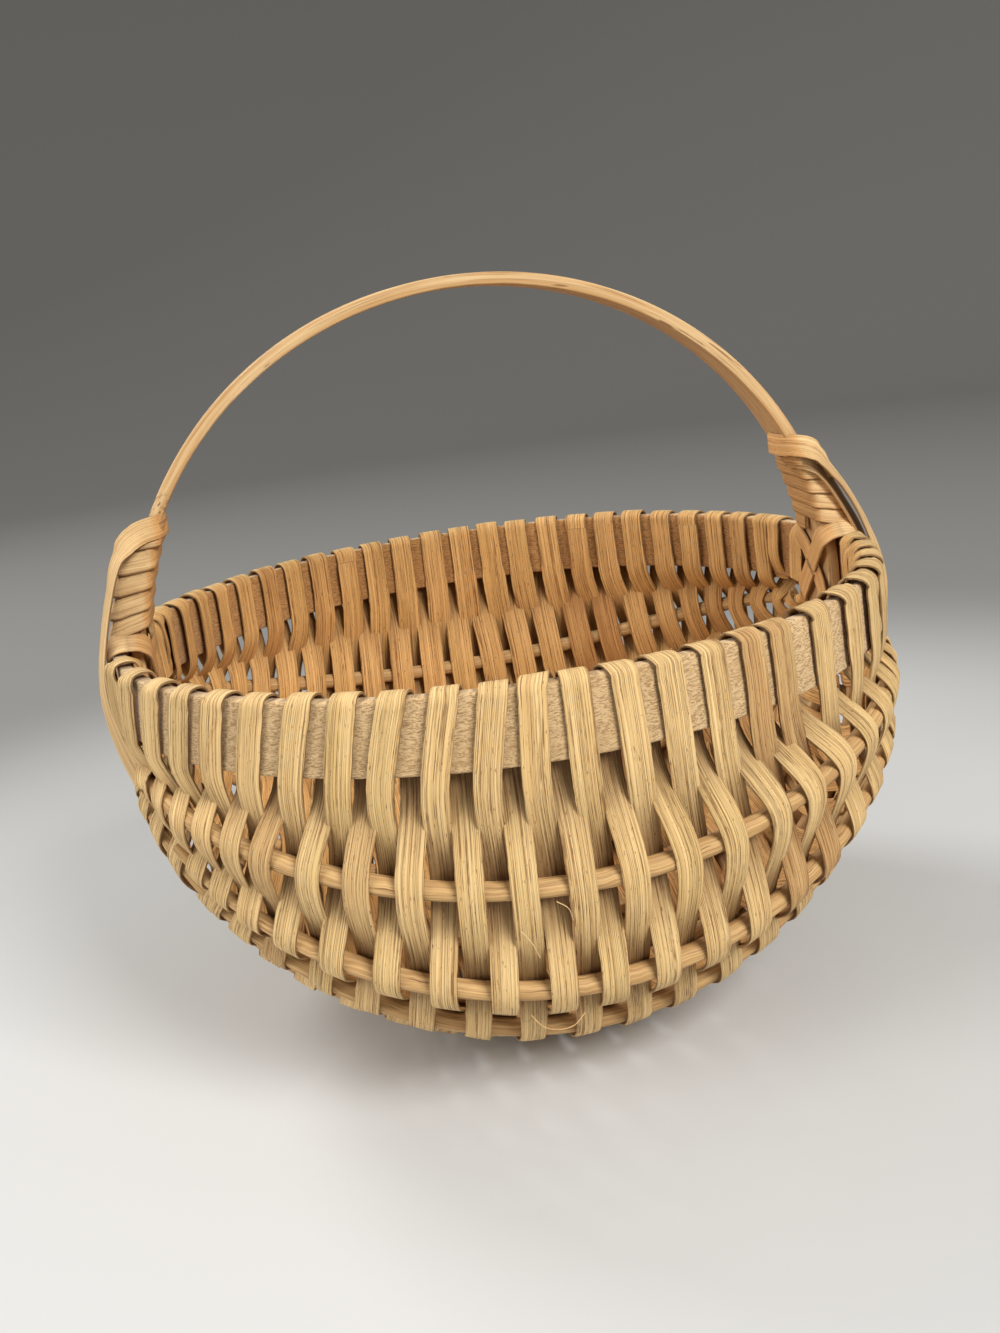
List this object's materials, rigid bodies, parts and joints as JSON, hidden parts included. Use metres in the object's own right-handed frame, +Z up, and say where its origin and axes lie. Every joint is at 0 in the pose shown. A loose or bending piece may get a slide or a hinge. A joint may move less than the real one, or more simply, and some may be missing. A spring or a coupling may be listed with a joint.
{
  "type": "buttocks basket",
  "caption": "Round rib basket with two rounded lobes underneath, woven from flat reed over round ribs on a flat rim hoop and a hoop handle, for carrying small things.",
  "frame": {"origin": "on the floor, below the middle of the basket", "axes": "+X from the left ear to the right ear as seen from the front, -Y to the front, +Z up"},
  "size_m": [0.1616, 0.1612, 0.1443],
  "materials": {
    "rim_wood": "bare, fuzzy, matt",
    "handle_wood": "bare, worn smooth",
    "rib_reed": "bare round reed, matt",
    "weaver_reed": "bare flat reed with fine fibre lines",
    "ear_reed": "bare flat reed with fine fibre lines"
  },
  "bodies": {
    "root": {"rim_hoop": "rim_wood", "handle_hoop": "handle_wood", "rib_front_1": "rib_reed", "rib_back_1": "rib_reed", "rib_front_2": "rib_reed", "rib_back_2": "rib_reed", "rib_front_3": "rib_reed", "rib_back_3": "rib_reed", "rib_front_4": "rib_reed", "rib_back_4": "rib_reed", "rib_front_5": "rib_reed", "rib_back_5": "rib_reed", "weaver_left_1": "weaver_reed", "weaver_left_2": "weaver_reed", "weaver_left_3": "weaver_reed", "weaver_right_1": "weaver_reed", "weaver_right_2": "weaver_reed", "weaver_right_3": "weaver_reed", "cross_lash_left_1": "ear_reed", "cross_lash_left_2": "ear_reed", "ear_winding_left": "ear_reed", "bow_strip_left_1": "ear_reed", "cross_lash_right_1": "ear_reed", "cross_lash_right_2": "ear_reed", "ear_winding_right": "ear_reed", "bow_strip_right_1": "ear_reed", "bow_strip_right_2": "ear_reed"}
  },
  "joints": []
}
